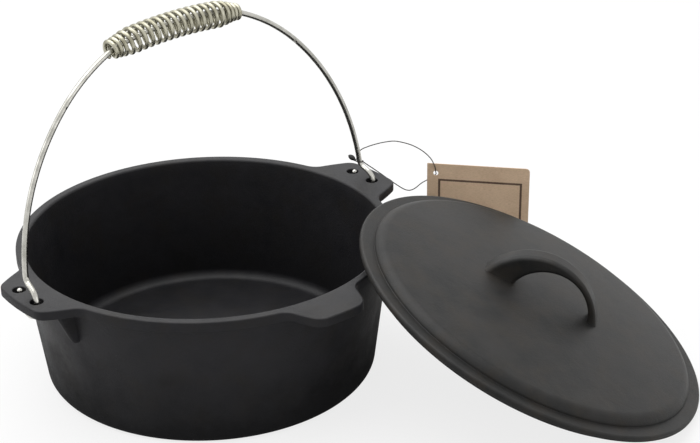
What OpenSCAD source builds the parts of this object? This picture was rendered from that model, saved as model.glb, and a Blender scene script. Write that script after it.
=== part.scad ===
// Camp dutch oven: a cast pot with two ears and a helper tab, a wire bail with a coil grip,
// a domed lid leaning on the rim, and a card tag on a cord.
// Millimetres. Origin at the centre of the pot's base, Z up, X from ear to ear.

/* [Pot] */
// outer radius of the rim band
rim_r = 135; // [100:1:180]
// height of the rim above the base
pot_h = 102; // [70:1:150]
// height of the rim band
band_h = 8; // [7.5:0.5:14]
// how far the rim band stands out from the wall
band_out = 3.4; // [1:0.2:6]
// lean of the wall from the vertical, in degrees
wall_draft = 7.06; // [2:0.02:12]
// thickness of the wall
wall_t = 4.6; // [3:0.2:8]
// thickness of the floor
floor_t = 5; // [3:0.5:9]
// outer corner radius at the base
base_round = 6; // [2:0.5:12]
// inner corner radius at the floor
floor_round = 8; // [4:1:25]
// rounding of the rim's inner edge
lip_round = 2.2; // [1:0.2:4]
// rounding of the rim's outer edges
edge_round = 1.2; // [0.4:0.2:2]

/* [Ears and tab] */
// thickness of the ears and of the helper tab
ear_t = 7; // [4:0.5:7]
// reach of the ears beyond the rim band
ear_reach = 23.5; // [20:0.5:40]
// half width of an ear near its outer end
ear_half = 26; // [22:0.5:34]
// half width of an ear near the rim
ear_root_half = 34; // [30:0.5:44]
// corner radius of the ears
ear_round = 10; // [2:0.5:12]
// fillet where an ear meets the rim
ear_fillet = 13; // [6:1:20]
// how much farther out the right ear stands than the pot's middle would put it
ear_skew = 2; // [0:0.5:4]
// reach of the helper tab beyond the rim band
tab_reach = 22; // [10:0.5:40]
// half width of the helper tab near its outer end
tab_half = 20; // [10:0.5:26]
// half width of the helper tab near the rim
tab_root_half = 26.5; // [20:0.5:36]
// corner radius of the helper tab
tab_round = 11; // [2:0.5:12]
// fillet where the helper tab meets the rim
tab_fillet = 12; // [6:1:20]
// azimuth of the helper tab, in degrees
tab_azimuth = -91; // [-120:1:-60]
// thickness of the ribs under the ears
rib_t = 5; // [3:0.5:7]
// height of the ribs under the ears
rib_h = 26; // [15:1:50]
// reach of the ribs beyond the rim band
rib_out = 7; // [3:0.5:10]
// how far the ribs' lower ends stand out from the wall
rib_chin = 6; // [3:0.5:8]

/* [Bail] */
// wire diameter of the bail
wire_d = 4; // [3:0.2:5]
// clearance between the hook and the metal round the ear holes
hook_gap = 0.5; // [0.3:0.1:1]
// distance of the bail's legs beyond the rim band
leg_out = 11; // [8:0.5:17]
// distance of the ear holes beyond the rim band
hole_out = 12; // [8:0.5:17]
// spacing of the two holes in an ear
hole_pitch = 22.6; // [20:0.2:26]
// diameter of the ear holes
hole_d = 9; // [8:0.2:10]
// height of the bend in the left leg above the hinge line
left_bend_h = 14; // [12:0.5:24]
// height of the bend in the right leg above the hinge line
right_bend_h = 12.5; // [12:0.5:24]
// radius of the bend in the legs
bend_r = 6; // [4:0.5:10]
// height of the arch's centre above the hinge line
arch_lift = 25.3; // [6:0.1:30]
// how much wider the arch's sides curve than its top
side_widen = 32; // [0:1:60]
// angle round the hook to its tail
tail_turn = 290; // [270:1:300]
// lean of the bail to the back, in degrees
bail_lean = 7.2; // [0:0.1:20]

/* [Coil grip] */
// wire diameter of the coil
coil_wire = 3; // [2:0.1:3.6]
// outer diameter of the coil in its open stretch
coil_d = 21.4; // [19:0.2:26]
// outer diameter of the coil at its ends
coil_end_d = 14.4; // [13.6:0.2:18]
// length of the taper at each end of the coil
coil_taper = 19; // [8:0.5:24]
// gap between the turns of the close stretches
close_gap = 0.55; // [0.5:0.05:1]
// gap between the turns of the open stretch
open_gap = 2.38; // [1:0.02:4]
// number of close turns at each end
close_turns = 3; // [1:1:5]
// number of open turns
open_turns = 16; // [8:1:22]
// bow of the coil between its ends
coil_bow = 4.4; // [0:0.1:6]
// turn of the coil along the arch from its top, in degrees
coil_shift = 2; // [-8:0.2:8]
// lift of the coil's ends over the bail's wire
coil_lift = 1.9; // [0:0.05:1.9]

/* [Lid] */
// how far the lid's edge stays inside the rim band's
lid_inset = 2; // [0:0.5:6]
// thickness of the lid
lid_t = 5; // [3:0.5:8]
// width of the flat flange round the lid
flange_w = 12; // [6:0.5:20]
// radius of the shoulder between the flange and the dome
shoulder_r = 6; // [5.5:0.5:8]
// height of the dome's top above the flange
crown_h = 13.5; // [10:0.5:20]
// rise of the dome's curve
dome_h = 7.5; // [5:0.1:7.5]
// height of the locating skirt
skirt_h = 4; // [2:0.5:8]
// thickness of the locating skirt
skirt_t = 4.5; // [3:0.5:6]
// clearance of the skirt in the pot's mouth, on the radius
skirt_gap = 1; // [0.5:0.1:3]
// distance from the skirt to the rim under the lid, along the lean
hook_in = 11.54; // [8:0.02:16]
// direction in which the lid leans out, in degrees
lid_azimuth = -46.9; // [-60:0.1:-35]
// sideways place of the lid across its lean
lid_side = -19.5; // [-30:0.5:0]
// gap left at the lid's two resting points
rest_gap = 0.3; // [0.2:0.1:0.6]

/* [Lid handle] */
// span of the handle over its feet
handle_span = 85; // [60:1:110]
// rise of the handle over the dome
handle_rise = 28.5; // [18:0.5:36]
// width of the finger gap at the dome
grip_span = 57; // [36:1:64]
// height of the finger gap over the dome
grip_rise = 21; // [10:0.5:24]
// how far down the slope the finger gap sits from the handle's middle
grip_shift = 7.5; // [0:0.5:9]
// width of the handle strap
handle_w = 16; // [10:0.5:26]
// turn of the handle on the lid, in degrees
handle_turn = -5; // [-30:1:30]

/* [Tag and tie] */
// width of the tag
tag_w = 80; // [50:1:110]
// height of the tag
tag_h = 100; // [70:1:130]
// thickness of the card
tag_t = 0.8; // [0.4:0.1:2]
// corner radius at the tag's outer top corner
tag_round = 3; // [1:0.5:8]
// diameter of the hole in the tag
tag_hole_d = 4; // [2.5:0.5:6]
// thickness of the tie cord
tie_d = 0.8; // [0.5:0.1:1.2]
// length of the leaf on the tie's end
leaf_l = 7; // [5:0.5:12]
// thickness of the leaf on the tie's end
leaf_d = 3.6; // [2:0.2:4]

/* [Hidden] */
$fn = 96;
iron = [0.2, 0.2, 0.21];
steel = [0.78, 0.77, 0.74];
card = [0.72, 0.61, 0.48];
dark = [0.12, 0.1, 0.09];

ear_z = pot_h - ear_t;
band_z = pot_h - band_h;
slope = tan(wall_draft);
root_r = rim_r - 2.5;
ear_r = rim_r + ear_reach;
tab_r = rim_r + tab_reach;
rib_reach = rim_r + rib_out;
hinge_z = pot_h - ear_t / 2;
hole_y = hole_pitch / 2;
rib_y = hole_y + hole_d / 2 + 5.7;

leg_x = rim_r + leg_out;
hole_x = rim_r + hole_out;
bridge_reach = norm([hole_y - hole_d / 2, ear_t / 2]);
hook_r = bridge_reach + wire_d / 2 + hook_gap;
haunch = 45;
side_c = [0, arch_lift] - side_widen * [cos(haunch), sin(haunch)];
side_r = norm([leg_x, bend_top(left_bend_h)] - side_c);
top_r = side_r - side_widen;
knuckle_d = wire_d + 0.06;

close_pitch = coil_wire + close_gap;
open_pitch = coil_wire + open_gap;
all_turns = 2 * close_turns + open_turns;
coil_l = 2 * close_turns * close_pitch + open_turns * open_pitch;
coil_seat = sqrt(top_r * top_r - coil_l * coil_l / 4) + coil_lift;
curl_rings = 8;

skirt_ro = rim_r - band_out + band_h * slope - wall_t - skirt_h * slope - skirt_gap;
skirt_ri = skirt_ro - skirt_t;
lid_r = rim_r - lid_inset;
step_r = lid_r - flange_w;
lid_edge = 2;
dome_r = (step_r * step_r + dome_h * dome_h) / (2 * dome_h);
dome_z = crown_h - dome_r;
shoulder_z = dome_z + sqrt(pow(dome_r - shoulder_r, 2) - pow(step_r - shoulder_r, 2));
shoulder_a = atan2(shoulder_z - dome_z, step_r - shoulder_r);
hook_u = hook_in - skirt_ri;
lid_reach = [lid_r - hook_u, skirt_h + rest_gap];
lid_lean = asin((pot_h - rest_gap) / norm(lid_reach)) + atan(lid_reach[1] / lid_reach[0]);
lid_z = lid_r * sin(lid_lean) + lid_t * cos(lid_lean) + rest_gap;
hang = -(lid_t + skirt_h + rest_gap + (pot_h - lid_z) * cos(lid_lean)) / sin(lid_lean);
hook_w = sqrt(skirt_ri * skirt_ri - hook_u * hook_u) - abs(lid_side);
lid_x = sqrt(rim_r * rim_r - hook_w * hook_w) - hang;
handle_cut = crown_h - 2.5;
seat_gap = 0.02;
handle_ro = (handle_span * handle_span / 4 + handle_rise * handle_rise) / (2 * handle_rise);
handle_ri = (grip_span * grip_span / 4 + grip_rise * grip_rise) / (2 * grip_rise);

leg_top = [leg_place(right_bend_h), 0, hinge_z];
tag_place = [hole_x + 56.4, -12.5, rest_gap];
tag_azimuth = -50;
tag_hole = [6.8, 92];
tag_eye = tag_place + [tag_hole[0] * cos(tag_azimuth), tag_hole[0] * sin(tag_azimuth), tag_hole[1]];
leaf_place = leg_top + [-4.8, 5.2, 18.6];
leaf_lean = [-83, 0, 0];
tie_sides = 8;
tie_steps = 3;
// the knot round the leg and the strand that leaves it, from the leg's foot
knot_out = [
    [-3.7, 5.1, 16.3],
    [-0.4, 4.75, 14.4],
    [2.1, 3.96, 14.65],
    [2.87, 1.85, 14.9],
    [2.02, -0.14, 15.15],
    [0, -0.96, 15.4],
    [-2.02, -0.1, 15.65],
    [-2.86, 1.95, 15.9],
    [-2.04, 3.99, 16.15],
    [-0.04, 4.85, 16.4],
    [1.9, 4.55, 17.2],
    [2.3, 4.7, 20],
    [3.6, 4.1, 23],
    [8.7, 1.5, 25.1],
    [14.7, -1.5, 26.5],
    [21.7, -4, 26.9]
];
// the loop through the tag, from the middle of its hole
tag_loop = [
    [-32.77, 11.21, 32.5],
    [-24.77, 8.41, 29.5],
    [-17.77, 6.01, 25.7],
    [-10.77, 3.21, 20.2],
    [-4.77, 1.11, 13.2],
    [-1.77, -0.49, 6.2],
    [-0.97, -0.79, 1.3],
    [0.03, 0.01, -0.1],
    [1.03, 1.11, -1.8],
    [-1.27, 4.71, -5.8],
    [-7.27, 8.21, -9.3],
    [-14.77, 8.21, -11.8],
    [-20.77, 8.21, -11.6],
    [-26.27, 9.41, -8.8]
];
// the strand back to the knot, from the leg's foot
knot_back = [
    [26.2, -5.5, -7],
    [17.7, -2.5, 1],
    [11.7, -0.2, 6.5],
    [7, 0.8, 10.6],
    [3.9, 1.6, 13.5]
];
tie_route = concat(
    [for (p = knot_out) leg_top + p],
    [for (p = tag_loop) tag_eye + p],
    [for (p = knot_back) leg_top + p]
);

function unit(v) = v / norm(v);
function hook_turn(h) = acos(hook_r / h);
function bend_top(h) = h + bend_r * tan(45 - hook_turn(h) / 2);
function leg_place(h) = side_c[0] + sqrt(pow(side_r, 2) - pow(bend_top(h) - side_c[1], 2));
function side_end(h) = asin((bend_top(h) - side_c[1]) / side_r);
function wall_at(z) = rim_r - band_out - (band_z - z) * slope;
function arc(c, r, a, b, n) = [for (i = [0:n]) c + r * [cos(a + (b - a) * i / n), sin(a + (b - a) * i / n)]];
function meet(p, d, r) = p + d * (sqrt(pow(p * d, 2) - p * p + r * r) - p * d);
function reverse(v) = [for (i = [len(v) - 1:-1:0]) v[i]];
function flip(v) = [for (p = v) [p[0], -p[1]]];

// half outline of a lug: outer arc, rounded corner, straight side and fillet into the rim
function lug_half(r, p, d, o, c, f) =
    let (corner = meet(p - c * o, d, r - c), dish = meet(p + f * o, d, rim_r + f))
    let (a = atan2(corner[1], corner[0]), b = atan2(o[1], o[0]))
    concat(
        arc([0, 0], r, 0, a, 5),
        arc(corner, c, a, b, 5),
        arc(dish, f, b - 180, atan2(-dish[1], -dish[0]), 7),
        arc([0, 0], root_r, atan2(dish[1], dish[0]), 0, 5)
    );

module lug(r, half, root_half, c, f) {
    tip = [r - 3, half];
    d = unit(tip - [rim_r + 3, root_half]);
    side = lug_half(r, tip, d, [-d[1], d[0]], c, f);
    translate([0, 0, ear_z])
        linear_extrude(ear_t)
            polygon(concat(side, reverse(flip(side))));
}

module rib() {
    low = ear_z - rib_h;
    foot = sqrt(pow(wall_at(low), 2) - pow(rib_y + rib_t, 2)) - 0.5;
    head = sqrt(pow(wall_at(ear_z), 2) - pow(rib_y + rib_t, 2)) - 2;
    chin = foot + rib_chin;
    outline = [[foot - 2, low], [chin - 2.5, low], [chin, low + 2.5], [rib_reach, ear_z + 0.5], [head, ear_z + 0.5]];
    translate([0, -rib_y, 0])
        rotate([90, 0, 0])
            linear_extrude(rib_t)
                polygon(outline);
}

module ear(reach) {
    lug(reach, ear_half, ear_root_half, ear_round, ear_fillet);
    rib();
    mirror([0, 1, 0])
        rib();
}

module bowl() {
    base_c = [wall_at(base_round) - base_round / cos(wall_draft), base_round];
    floor_z = floor_t + floor_round;
    floor_c = [wall_at(floor_z) - wall_t - floor_round / cos(wall_draft), floor_z];
    lip_c = [wall_at(pot_h) - wall_t + lip_round, pot_h - lip_round];
    top_c = [rim_r - edge_round, pot_h - edge_round];
    low_c = [rim_r - edge_round, band_z + edge_round];
    rotate_extrude()
        polygon(concat(
            [[0, 0]],
            arc(base_c, base_round, -90, -wall_draft, 6),
            [[wall_at(band_z), band_z]],
            arc(low_c, edge_round, -90, 0, 3),
            arc(top_c, edge_round, 0, 90, 3),
            arc(lip_c, lip_round, 90, 180 - wall_draft, 5),
            arc(floor_c, floor_round, -wall_draft, -90, 8),
            [[0, floor_t]]
        ));
}

module pot() {
    color(iron)
        difference() {
            union() {
                bowl();
                ear(ear_r + ear_skew);
                mirror([1, 0, 0])
                    ear(ear_r - ear_skew);
                rotate([0, 0, tab_azimuth])
                    lug(tab_r, tab_half, tab_root_half, tab_round, tab_fillet);
            }
            for (x = [-hole_x, hole_x])
                for (y = [-hole_y, hole_y])
                    translate([x, y, ear_z - 1])
                        cylinder(d = hole_d, h = ear_t + 2);
        }
}

module wire_arc(r, a, b) {
    rotate([0, 0, a])
        rotate_extrude(angle = b - a)
            translate([r, 0])
                circle(d = wire_d, $fn = 32);
}

module leg(h) {
    turn = hook_turn(h);
    top = bend_top(h);
    start = hook_r * [sin(turn), cos(turn)];
    stop = [bend_r - bend_r * sin(turn), top - bend_r * cos(turn)];
    rise = stop - start;
    translate([leg_place(h), 0, 0])
        rotate([90, 0, -90]) {
            wire_arc(hook_r, 90 - tail_turn, 90 - turn);
            translate([start[0], start[1], 0])
                sphere(d = knuckle_d, $fn = 32);
            translate([start[0], start[1], 0])
                rotate([0, 0, atan2(rise[1], rise[0])])
                    rotate([0, 90, 0])
                        cylinder(d = wire_d, h = norm(rise), $fn = 32);
            translate([stop[0], stop[1], 0])
                sphere(d = knuckle_d, $fn = 32);
            translate([bend_r, top, 0])
                wire_arc(bend_r, 180, 270 - turn);
            translate([0, top, 0])
                sphere(d = knuckle_d, $fn = 32);
        }
    translate([side_c[0], 0, side_c[1]])
        rotate([90, 0, 0])
            wire_arc(side_r, side_end(h), haunch);
    translate([top_r * cos(haunch), 0, arch_lift + top_r * sin(haunch)])
        sphere(d = knuckle_d, $fn = 32);
}

module on_bail() {
    translate([0, 0, hinge_z])
        rotate([-bail_lean, 0, 0])
            children();
}

module bail() {
    color(steel)
        on_bail() {
            leg(right_bend_h);
            mirror([1, 0, 0])
                leg(left_bend_h);
            translate([0, 0, arch_lift])
                rotate([90, 0, 0])
                    wire_arc(top_r, haunch, 180 - haunch);
        }
}

// place along the coil's chord after a number of turns
function coil_at(t) =
    t < close_turns ? t * close_pitch - coil_l / 2
    : t > all_turns - close_turns ? coil_l / 2 - (all_turns - t) * close_pitch
    : open_pitch * (t - all_turns / 2);
function coil_fill(x) = 0.5 - 0.5 * cos(180 * min(1, (coil_l / 2 - abs(x)) / coil_taper));
function coil_turn_r(x) = (coil_end_d + (coil_d - coil_end_d) * coil_fill(x) - coil_wire) / 2;
function coil_lean(x) = atan(-8 * coil_bow * x / (coil_l * coil_l));
function coil_mid(x) = [x, coil_seat + coil_bow * (1 - pow(2 * x / coil_l, 2)), 0];
function coil_out(x, a) = [-sin(coil_lean(x)) * cos(a), cos(coil_lean(x)) * cos(a), sin(a)];
function coil_point(t) =
    let (x = coil_at(t))
    coil_mid(x) + coil_turn_r(x) * coil_out(x, 360 * t);

function ring(p, along, out, r, n) =
    let (o = unit(out - along * (out * along)), s = cross(along, o))
    [for (i = [0:n - 1]) p + r * (cos(360 * i / n) * o + sin(360 * i / n) * s)];
function band(i, n) = [for (k = [0:n - 1]) let (m = (k + 1) % n, a = i * n, b = a + n)
    each [[a + k, b + k, b + m], [a + k, b + m, a + m]]];
function fan(a, n, front) = [for (k = [1:n - 2]) front ? [a, a + k, a + k + 1] : [a, a + k + 1, a + k]];

module tube(rings) {
    n = len(rings[0]);
    last = len(rings) - 1;
    polyhedron(
        points = [for (r = rings) each r],
        faces = concat(
            fan(0, n, true),
            [for (i = [0:last - 1]) each band(i, n)],
            fan(last * n, n, false)
        )
    );
}

coil_count = curl_rings * all_turns;
coil_points = [for (i = [0:coil_count]) coil_point(i / curl_rings)];
coil_rings = [for (i = [0:coil_count])
    let (a = coil_points[max(i - 1, 0)], b = coil_points[min(i + 1, coil_count)])
    ring(coil_points[i], unit(b - a), coil_out(coil_at(i / curl_rings), 360 * i / curl_rings), coil_wire / 2, 6)];
coil_gap = min([for (i = [0:coil_count]) for (j = [i + 6:1:min(i + 18, coil_count)])
    norm(coil_points[i] - coil_points[j])]) - coil_wire;
echo(coil_gap = coil_gap);

module coil_grip() {
    color(steel)
        on_bail()
            translate([0, 0, arch_lift])
                rotate([90, 0, 0])
                    rotate([0, 0, coil_shift])
                        tube(coil_rings);
}

module lid_plate() {
    shoulder_c = [step_r - shoulder_r, shoulder_z];
    rim_c = lid_r - lid_edge;
    rotate_extrude()
        polygon(concat(
            arc([0, dome_z], dome_r, 90, shoulder_a, 8),
            arc(shoulder_c, shoulder_r, shoulder_a, 0, 6),
            [[step_r, 0]],
            arc([rim_c, -lid_edge], lid_edge, 90, 0, 4),
            arc([rim_c, lid_edge - lid_t], lid_edge, 0, -90, 4),
            [[skirt_ro, -lid_t], [skirt_ro, -lid_t - skirt_h], [skirt_ri, -lid_t - skirt_h], [skirt_ri, -lid_t]],
            [[step_r - lid_t, -lid_t]],
            arc(shoulder_c, shoulder_r - lid_t, 0, shoulder_a, 3),
            arc([0, dome_z], dome_r - lid_t, shoulder_a, 90, 8)
        ));
}

module arch() {
    rotate([90, 0, handle_turn])
        linear_extrude(handle_w, center = true)
            difference() {
                translate([0, crown_h + handle_rise - handle_ro])
                    circle(handle_ro);
                translate([grip_shift, crown_h + grip_rise - handle_ri])
                    circle(handle_ri);
                translate([0, handle_cut - handle_ro])
                    square(2 * handle_ro, center = true);
            }
}

module on_lid() {
    rotate([0, 0, lid_azimuth])
        translate([lid_x, lid_side, lid_z])
            rotate([0, lid_lean, 0])
                children();
}

module lid() {
    color(iron)
        on_lid()
            lid_plate();
}

// the handle is cast with the lid, and is kept as a solid of its own that stands on the dome
module lid_handle() {
    color(iron)
        on_lid()
            difference() {
                arch();
                translate([0, 0, seat_gap])
                    lid_plate();
            }
}

module hang_tag() {
    corner = [tag_w - tag_round, tag_h - tag_round];
    color(card)
        translate(tag_place)
            rotate([0, 0, tag_azimuth])
                rotate([90, 0, 0])
                    linear_extrude(tag_t)
                        difference() {
                            polygon(concat([[0, 0], [tag_w, 0]], arc(corner, tag_round, 0, 90, 6), [[0, tag_h]]));
                            translate(tag_hole)
                                circle(d = tag_hole_d);
                        }
}

// smooth curve through the route's points
function blend(a, b, c, d, t) =
    0.5 * (2 * b + (c - a) * t + (2 * a - 5 * b + 4 * c - d) * t * t + (3 * b - a - 3 * c + d) * t * t * t);
function route_at(k) =
    let (last = len(tie_route) - 1, i = min(floor(k / tie_steps), last - 1))
    blend(tie_route[max(i - 1, 0)], tie_route[i], tie_route[i + 1], tie_route[min(i + 2, last)], k / tie_steps - i);

tie_count = tie_steps * (len(tie_route) - 1);
tie_points = [for (k = [0:tie_count]) route_at(k)];
tie_rings = [for (k = [0:tie_count])
    let (a = tie_points[max(k - 1, 0)], b = tie_points[min(k + 1, tie_count)])
    ring(tie_points[k], unit(b - a), [0.1, 0.2, 1], tie_d / 2, tie_sides)];

module tag_tie() {
    color(dark)
        tube(tie_rings);
}

module tie_end() {
    r = (leaf_l * leaf_l / 4 + leaf_d * leaf_d / 4) / leaf_d;
    reach = asin(leaf_l / 2 / r);
    color(dark)
        translate(leaf_place)
            rotate(leaf_lean)
                rotate_extrude()
                    polygon(arc([leaf_d / 2 - r, 0], r, -reach, reach, 10));
}

pot();
bail();
coil_grip();
lid();
lid_handle();
hang_tag();
tag_tie();
tie_end();
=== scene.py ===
# Camp dutch oven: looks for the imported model. Lengths are in millimetres until a mesh is made.
import math

import bmesh
import bpy
import numpy as np
from mathutils import Matrix, Vector


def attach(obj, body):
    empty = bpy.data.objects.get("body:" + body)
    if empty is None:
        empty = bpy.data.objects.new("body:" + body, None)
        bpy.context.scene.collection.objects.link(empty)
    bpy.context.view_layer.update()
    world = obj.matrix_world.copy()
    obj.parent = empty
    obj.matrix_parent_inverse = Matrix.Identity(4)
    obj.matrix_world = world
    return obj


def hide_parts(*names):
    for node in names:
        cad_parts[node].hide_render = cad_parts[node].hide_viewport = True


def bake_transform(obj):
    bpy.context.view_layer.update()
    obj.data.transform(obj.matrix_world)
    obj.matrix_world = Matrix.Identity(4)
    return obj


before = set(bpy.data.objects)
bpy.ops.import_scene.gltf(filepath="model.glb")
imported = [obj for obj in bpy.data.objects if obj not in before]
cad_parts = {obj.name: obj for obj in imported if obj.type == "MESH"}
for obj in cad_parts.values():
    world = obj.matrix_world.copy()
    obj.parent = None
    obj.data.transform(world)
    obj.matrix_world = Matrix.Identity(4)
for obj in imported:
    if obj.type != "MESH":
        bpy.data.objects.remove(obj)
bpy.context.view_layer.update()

MM = 0.001

# camera, with the focal length in pixels of the 700 pixel wide picture
PICTURE_W = 700
FOCAL_PX = 1720.67
CAMERA_PLACE = (-633.67, -915.34, 642.28)
CAMERA_TURN = 40.0
CAMERA_PITCH = 25.71
CAMERA_ROLL = -0.65
SENSOR_W = 36.0

# pot
RIM_R = 135.0
POT_H = 102.0
BAND_Z = 94.0
BAND_OUT = 3.4
DRAFT = 7.06
WALL_T = 4.6
FLOOR_T = 5.0
BASE_ROUND = 6.0
FLOOR_ROUND = 8.0
LIP_ROUND = 2.2
EDGE_ROUND = 1.2
BAND_FILLET = 2.0
EAR_T = 7.0
EAR_Z = POT_H - EAR_T
RIGHT_EAR = dict(reach=160.5, half=26.0, root_half=34.0, corner=10.0, fillet=13.0)
LEFT_EAR = dict(RIGHT_EAR, reach=156.5)
TAB = dict(reach=157.0, half=20.0, root_half=26.5, corner=11.0, fillet=12.0)
TAB_AZIMUTH = -91.0
LUG_TRIM = 3.0
LUG_SPAN = 24.0
EAR_STEP = 2.4
LUGS = ((RIGHT_EAR, 0.0), (LEFT_EAR, 180.0), (TAB, TAB_AZIMUTH))
RIB_T = 5.0
RIB_H = 26.0
RIB_REACH = 142.0
RIB_Y = 21.5
RIB_CHIN = 6.0
RIB_ROUND = 1.8
RIB_SINK = 2.0
RIB_CUT = 2.5
JOIN = 0.5
HOLE_X = 147.0
HOLE_Y = 11.3
HOLE_R = 4.5
HOLE_ROUND = 0.8
SHARES = (0.2, 0.4, 0.6, 0.8, 0.93)
CAST_CREASE = 38

# bail and coil grip
WIRE_D = 4.0
HINGE_Z = 98.5
BAIL_LEAN = 7.2
LEFT_HOOK_R = 11.4
LEFT_SPLAY = 0.8
RIGHT_HOOK_R = 11.2
RIGHT_SPLAY = 2.6
SPLAY_END = 4.0
TAIL_TURN = 290.0
LEFT_BEND_H = 14.0
RIGHT_BEND_H = 12.5
BEND_R = 6.0
HAUNCH = 45.0
ARCH_LIFT = 25.3
TOP_R = 137.2
SIDE_C = (-22.627, 2.673)
SIDE_R = 169.2
CROWN_R = 246.959
CROWN_DROP = 113.549
NOOK_R = 20.0
NOOK = (41.615, 109.562)
COIL_WIRE = 3.0
COIL_D = 19.4
COIL_END_D = 14.4
COIL_FAR_D = 12.4
COIL_TIP = 1.0
COIL_START = 3.6
COIL_TAPER = 19.0
CLOSE_PITCH = 3.55
OPEN_PITCH = 5.38
CLOSE_TURNS = 3
OPEN_TURNS = 16
COIL_BOW = 4.2
COIL_SHIFT = 2.0
COIL_SEAT = 127.758

# lid
LID_R = 133.0
LID_T = 5.0
STEP_R = 121.0
SHOULDER_R = 10.0
SHOULDER_IN = 114.2
UNDER_ROUND = 1.0
TOE_H = 1.3
CROWN_H = 13.5
DOME_H = 7.5
SKIRT_RO = 126.495
SKIRT_RI = 121.995
SKIRT_H = 4.0
SKIRT_ROUND = 0.8
LID_EDGE = 2.0
LID_LEAN = 25.7
LID_AZIMUTH = -46.9
LID_PLACE = (234.64, -19.5, 62.48)
HANDLE_RISE = 28.5
HANDLE_RO = 45.939
GRIP_RISE = 21.0
HANDLE_RI = 29.839
GRIP_SHIFT = 7.5
HANDLE_W = 16.0
HANDLE_ROUND = 3.6
HANDLE_TURN = -5.0
HANDLE_SINK = 2.5
HANDLE_STEPS = 72
ROOT_SPREAD = 1.6
ROOT_FADE = 1.8

# tag and tie
TAG_W = 80.0
TAG_H = 100.0
TAG_T = 0.8
TAG_ROUND = 3.0
TAG_HOLE = (6.8, 92.0)
TAG_HOLE_D = 4.0
TAG_EDGE = 0.12
TAG_CREASE = 40
TAG_PLACE = np.array([203.4, -12.5, 0.3])
TAG_AZIMUTH = -50.0
BORDER_ACROSS = (9.6, 73.5)
BORDER_UP = (8.0, 86.5)
BORDER_CORE = 0.7
BORDER_FADE = 1.0
TAG_EYE = np.array([207.771, -17.709, 92.3])
LEG_TOP = np.array([146.079, 0.0, HINGE_Z])
TIE_D = 0.8
LEAF_L = 8.4
LEAF_D = 3.9
LEAF_PLACE = LEG_TOP + np.array([-4.8, 5.2, 18.6])
LEAF_LEAN = -83.0
KNOT_OUT = [
    (-3.7, 5.1, 16.3), (-0.4, 4.75, 14.4), (2.1, 3.96, 14.65), (2.87, 1.85, 14.9), (2.02, -0.14, 15.15),
    (0, -0.96, 15.4), (-2.02, -0.1, 15.65), (-2.86, 1.95, 15.9), (-2.04, 3.99, 16.15), (-0.04, 4.85, 16.4),
    (1.9, 4.55, 17.2), (2.3, 4.7, 20), (3.6, 4.1, 23), (8.7, 1.5, 25.1), (14.7, -1.5, 26.5), (21.7, -4, 26.9),
]
TAG_LOOP = [
    (-32.77, 11.21, 32.5), (-24.77, 8.41, 29.5), (-17.77, 6.01, 25.7), (-10.77, 3.21, 20.2),
    (-4.77, 1.11, 13.2), (-1.77, -0.49, 6.2), (-0.97, -0.79, 1.3), (0.03, 0.01, -0.1),
    (1.03, 1.11, -1.8), (-1.27, 4.71, -5.8), (-7.27, 8.21, -9.3), (-14.77, 8.21, -11.8),
    (-20.77, 8.21, -11.6), (-26.27, 9.41, -8.8),
]
KNOT_BACK = [(26.2, -5.5, -7), (17.7, -2.5, 1), (11.7, -0.2, 6.5), (7, 0.8, 10.6), (3.9, 1.6, 13.5)]

# room: level of the light on the object, and how white the floor is to the camera and in the metal
ROOM_LIGHT = 0.45
FLOOR_SEEN = 0.8
FLOOR_IN_METAL = 0.15
FLOOR_HALF = 4000
FLOOR_Z = -0.4
LAMP_AIM = Vector((0.05, -0.08, 0.06))


def cosd(a):
    return math.cos(math.radians(a))


def sind(a):
    return math.sin(math.radians(a))


def tand(a):
    return math.tan(math.radians(a))


def bearing(v):
    return math.degrees(math.atan2(v[1], v[0]))


def arc(centre, radius, start, end, steps):
    a = np.radians(np.linspace(start, end, steps + 1))
    return np.stack([centre[0] + radius * np.cos(a), centre[1] + radius * np.sin(a)], 1)


def line(start, end, steps):
    t = np.linspace(0, 1, steps + 1)[:, None]
    return np.asarray(start, float) * (1 - t) + np.asarray(end, float) * t


def chain(*runs):
    points = np.concatenate([np.asarray(r, float) for r in runs])
    keep = [0]
    for i in range(1, len(points)):
        if np.linalg.norm(points[i] - points[keep[-1]]) > 1e-4:
            keep.append(i)
    return points[keep]


def curve_through(points, steps):
    p = np.asarray(points, float)
    p = np.vstack([2 * p[0] - p[1], p, 2 * p[-1] - p[-2]])
    out = []
    for i in range(1, len(p) - 2):
        a, b, c, d = p[i - 1:i + 3]
        for k in range(steps):
            t = k / steps
            out.append(0.5 * (2 * b + (c - a) * t + (2 * a - 5 * b + 4 * c - d) * t * t
                              + (3 * b - a - 3 * c + d) * t ** 3))
    out.append(p[-2])
    return np.array(out)


def mesh_of(name, verts, faces):
    mesh = bpy.data.meshes.new(name)
    mesh.from_pydata([tuple(v) for v in np.asarray(verts, float) * MM], [], faces)
    bm = bmesh.new()
    bm.from_mesh(mesh)
    bmesh.ops.remove_doubles(bm, verts=bm.verts, dist=2e-6)
    bmesh.ops.recalc_face_normals(bm, faces=bm.faces)
    bm.to_mesh(mesh)
    bm.free()
    return mesh


def thing(name, mesh, place=None):
    obj = bpy.data.objects.new(name, mesh)
    bpy.context.scene.collection.objects.link(obj)
    if place is not None:
        obj.matrix_world = place
    return obj


def soften(obj, sharp_angle):
    obj.data.shade_smooth()
    obj.data.set_sharp_from_angle(angle=math.radians(sharp_angle))
    even = obj.modifiers.new("even_normals", "WEIGHTED_NORMAL")
    even.keep_sharp = True


def combine(obj, steps):
    for tool, operation in steps:
        cut = obj.modifiers.new("combine", "BOOLEAN")
        cut.operation = operation
        cut.object = tool
        cut.solver = "MANIFOLD"
    done = bpy.data.meshes.new_from_object(obj.evaluated_get(bpy.context.evaluated_depsgraph_get()))
    obj.modifiers.clear()
    obj.data = done
    for tool, operation in steps:
        bpy.data.objects.remove(tool)


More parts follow.
